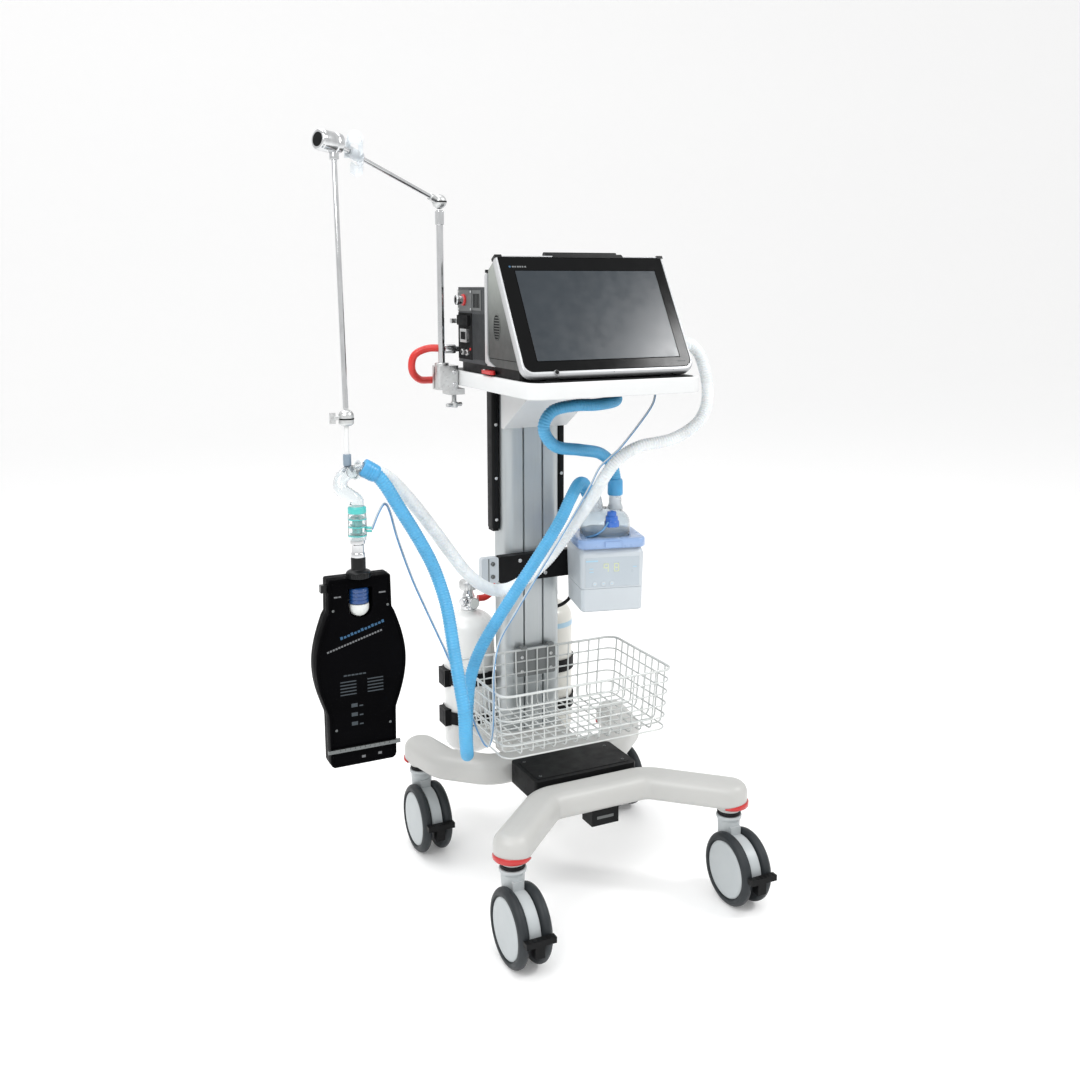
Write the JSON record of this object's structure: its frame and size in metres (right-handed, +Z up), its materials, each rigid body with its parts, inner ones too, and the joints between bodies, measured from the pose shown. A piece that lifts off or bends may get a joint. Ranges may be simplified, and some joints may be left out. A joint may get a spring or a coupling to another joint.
{
  "type": "mechanical ventilator",
  "caption": "Hospital ventilator with a tilted screen on a wheeled trolley, with humidifier, gas bottles, wire basket, breathing hoses and a test lung on a jointed arm",
  "frame": {"origin": "on the floor, below the middle of the footprint of the solids without the hoses and lines", "axes": "+Z up, the screen faces -Y, +X to the right of a person who looks at the screen"},
  "size_m": [0.7186, 0.6317, 1.2904],
  "materials": {
    "shell": "satin warm white housing plastic",
    "black": "matt black",
    "tyre": "grey-black tread",
    "aluminium": "anodised extrusion",
    "bottle": null,
    "silver": "satin silver",
    "chrome": "polished steel",
    "wire": "white coated wire",
    "graphite": "dark grey textured plastic",
    "glass": "black display glass",
    "panel_grey": "light blue-grey",
    "lilac": "lilac guard",
    "clear": "clear polycarbonate",
    "red": "signal red",
    "cap_blue": "deep blue",
    "hose_blue": "light blue corrugated hose",
    "hose_white": "white corrugated hose",
    "rubber_black": "black rubber and plate",
    "frame_silver": "silver painted plastic"
  },
  "bodies": {
    "trolley": {"front_beam": "shell", "rear_beam": "shell", "base_cover": "black", "column": "aluminium", "column_head": "shell", "side_rail_left": "black", "side_rail_right": "black", "humidifier_bracket": "black", "bottle_left": "bottle", "bottle_right": "bottle", "strap_lower": "black", "strap_upper": "black", "basket": "wire", "tray_rail": "shell", "tray_plate": "black", "docking_plate": "black", "main_housing": "graphite", "mid_frame": "shell", "front_frame": "frame_silver", "display_glass": "glass", "rear_module": "graphite", "carry_handle": "black", "expiratory_port": "clear", "humidifier_base": "panel_grey", "chamber_guard": "lilac", "water_chamber": "clear", "rail_clamp": "silver", "blue_feed_hose": "hose_blue", "blue_patient_hose": "hose_blue", "white_hose": "hose_white", "gas_supply_hose": "red", "sensor_line": "hose_white", "humidifier_cable": "rubber_black"},
    "caster_front_left": {"caster_fork_front_left": "shell"},
    "wheels_front_left": {"wheels_front_left": "tyre"},
    "pedal_front_left": {"brake_pedal_front_left": "black"},
    "caster_front_right": {"caster_fork_front_right": "shell"},
    "wheels_front_right": {"wheels_front_right": "tyre"},
    "pedal_front_right": {"brake_pedal_front_right": "black"},
    "caster_rear_left": {"caster_fork_rear_left": "shell"},
    "wheels_rear_left": {"wheels_rear_left": "tyre"},
    "pedal_rear_left": {"brake_pedal_rear_left": "black"},
    "caster_rear_right": {"caster_fork_rear_right": "shell"},
    "wheels_rear_right": {"wheels_rear_right": "tyre"},
    "pedal_rear_right": {"brake_pedal_rear_right": "black"},
    "clamp_screw": {"clamp_screw": "silver"},
    "arm_post": {"arm_post": "chrome"},
    "upper_rod": {"upper_rod": "chrome"},
    "drop_rod": {"drop_rod": "chrome"},
    "hanger": {"hanger": "silver", "y_piece": "clear", "flow_sensor": "clear"},
    "test_lung": {"test_lung": "rubber_black"},
    "compliance_bar": {"compliance_bar": "silver"},
    "resistance_knob": {"resistance_knob": "cap_blue"},
    "valve_knob_left": {"valve_knob_left": "chrome"},
    "valve_knob_right": {"valve_knob_right": "chrome"},
    "release_lever": {"release_lever": "red"},
    "module_latch": {"module_latch": "graphite"},
    "power_button": {"power_button": "black"}
  },
  "joints": [
    {"name": "caster_swivel_front_left", "type": "hinge", "parent": "trolley", "child": "caster_front_left", "pos_m": [-0.0885, -0.209, 0.147], "axis": [0, 0, 1], "continuous": true},
    {"name": "wheel_spin_front_left", "type": "hinge", "parent": "caster_front_left", "child": "wheels_front_left", "pos_m": [-0.0885, -0.239, 0.0625], "axis": [1, 0, 0], "continuous": true},
    {"name": "brake_press_front_left", "type": "hinge", "parent": "caster_front_left", "child": "pedal_front_left", "pos_m": [-0.0885, -0.2895, 0.06], "axis": [1, 0, 0], "range_deg": [0, 12]},
    {"name": "caster_swivel_front_right", "type": "hinge", "parent": "trolley", "child": "caster_front_right", "pos_m": [0.3235, -0.209, 0.147], "axis": [0, 0, 1], "continuous": true},
    {"name": "wheel_spin_front_right", "type": "hinge", "parent": "caster_front_right", "child": "wheels_front_right", "pos_m": [0.3235, -0.239, 0.0625], "axis": [1, 0, 0], "continuous": true},
    {"name": "brake_press_front_right", "type": "hinge", "parent": "caster_front_right", "child": "pedal_front_right", "pos_m": [0.3235, -0.2895, 0.06], "axis": [1, 0, 0], "range_deg": [0, 12]},
    {"name": "caster_swivel_rear_left", "type": "hinge", "parent": "trolley", "child": "caster_rear_left", "pos_m": [-0.0885, 0.211, 0.147], "axis": [0, 0, 1], "continuous": true},
    {"name": "wheel_spin_rear_left", "type": "hinge", "parent": "caster_rear_left", "child": "wheels_rear_left", "pos_m": [-0.0885, 0.181, 0.0625], "axis": [1, 0, 0], "continuous": true},
    {"name": "brake_press_rear_left", "type": "hinge", "parent": "caster_rear_left", "child": "pedal_rear_left", "pos_m": [-0.0885, 0.1305, 0.06], "axis": [1, 0, 0], "range_deg": [0, 12]},
    {"name": "caster_swivel_rear_right", "type": "hinge", "parent": "trolley", "child": "caster_rear_right", "pos_m": [0.3235, 0.211, 0.147], "axis": [0, 0, 1], "continuous": true},
    {"name": "wheel_spin_rear_right", "type": "hinge", "parent": "caster_rear_right", "child": "wheels_rear_right", "pos_m": [0.3235, 0.181, 0.0625], "axis": [1, 0, 0], "continuous": true},
    {"name": "brake_press_rear_right", "type": "hinge", "parent": "caster_rear_right", "child": "pedal_rear_right", "pos_m": [0.3235, 0.1305, 0.06], "axis": [1, 0, 0], "range_deg": [0, 12]},
    {"name": "clamp_screw_turn", "type": "hinge", "parent": "trolley", "child": "clamp_screw", "pos_m": [-0.0469, 0.122, 0.8636], "axis": [0, 0, 1], "range_deg": [-180, 180]},
    {"name": "post_swivel", "type": "hinge", "parent": "trolley", "child": "arm_post", "pos_m": [-0.0675, 0.126, 0.881], "axis": [0, 0, 1], "range_deg": [-20, 20], "deforming": ["blue_patient_hose", "white_hose", "sensor_line"]},
    {"name": "elbow_raise", "type": "hinge", "parent": "arm_post", "child": "upper_rod", "pos_m": [-0.0675, 0.126, 1.195], "axis": [-0.4717, 0.8818, 0], "range_deg": [-8, 12], "deforming": ["blue_patient_hose", "white_hose", "sensor_line"]},
    {"name": "drop_rod_turn", "type": "hinge", "parent": "upper_rod", "child": "drop_rod", "pos_m": [-0.2825, 0.011, 1.271], "axis": [0.9162, 0.3858, -0.1085], "range_deg": [-12, 12], "deforming": ["blue_patient_hose", "white_hose", "sensor_line"]},
    {"name": "hanger_tilt", "type": "hinge", "parent": "drop_rod", "child": "hanger", "pos_m": [-0.2865, -0.031, 0.852], "axis": [1, 0, 0], "range_deg": [-12, 12], "deforming": ["blue_patient_hose", "white_hose", "sensor_line"]},
    {"name": "lung_swivel", "type": "hinge", "parent": "hanger", "child": "test_lung", "pos_m": [-0.2815, -0.059, 0.636], "axis": [0, 0, 1], "range_deg": [-45, 45]},
    {"name": "compliance_slide", "type": "slide", "parent": "test_lung", "child": "compliance_bar", "axis": [0, 0, 1], "range_m": [-0.012, 0.15]},
    {"name": "resistance_turn", "type": "hinge", "parent": "test_lung", "child": "resistance_knob", "pos_m": [-0.2815, -0.055, 0.562], "axis": [0, 0, 1], "range_deg": [0, 270]},
    {"name": "valve_turn_left", "type": "hinge", "parent": "trolley", "child": "valve_knob_left", "pos_m": [0.0325, 0.2625, 0.4674], "axis": [0, 0, 1], "range_deg": [0, 270]},
    {"name": "valve_turn_right", "type": "hinge", "parent": "trolley", "child": "valve_knob_right", "pos_m": [0.2025, 0.2625, 0.4674], "axis": [0, 0, 1], "range_deg": [0, 270]},
    {"name": "release_lever_swing", "type": "hinge", "parent": "trolley", "child": "release_lever", "pos_m": [-0.039, 0.003, 0.914], "axis": [0, 0, -1], "range_deg": [0, 30]},
    {"name": "latch_turn", "type": "hinge", "parent": "trolley", "child": "module_latch", "pos_m": [-0.0285, 0.1225, 0.992], "axis": [0, 1, 0], "range_deg": [0, 90]},
    {"name": "power_press", "type": "slide", "parent": "trolley", "child": "power_button", "axis": [0, 0.8599, -0.5105], "range_m": [0, 0.0015], "stiffness_N_per_m": 400}
  ]
}
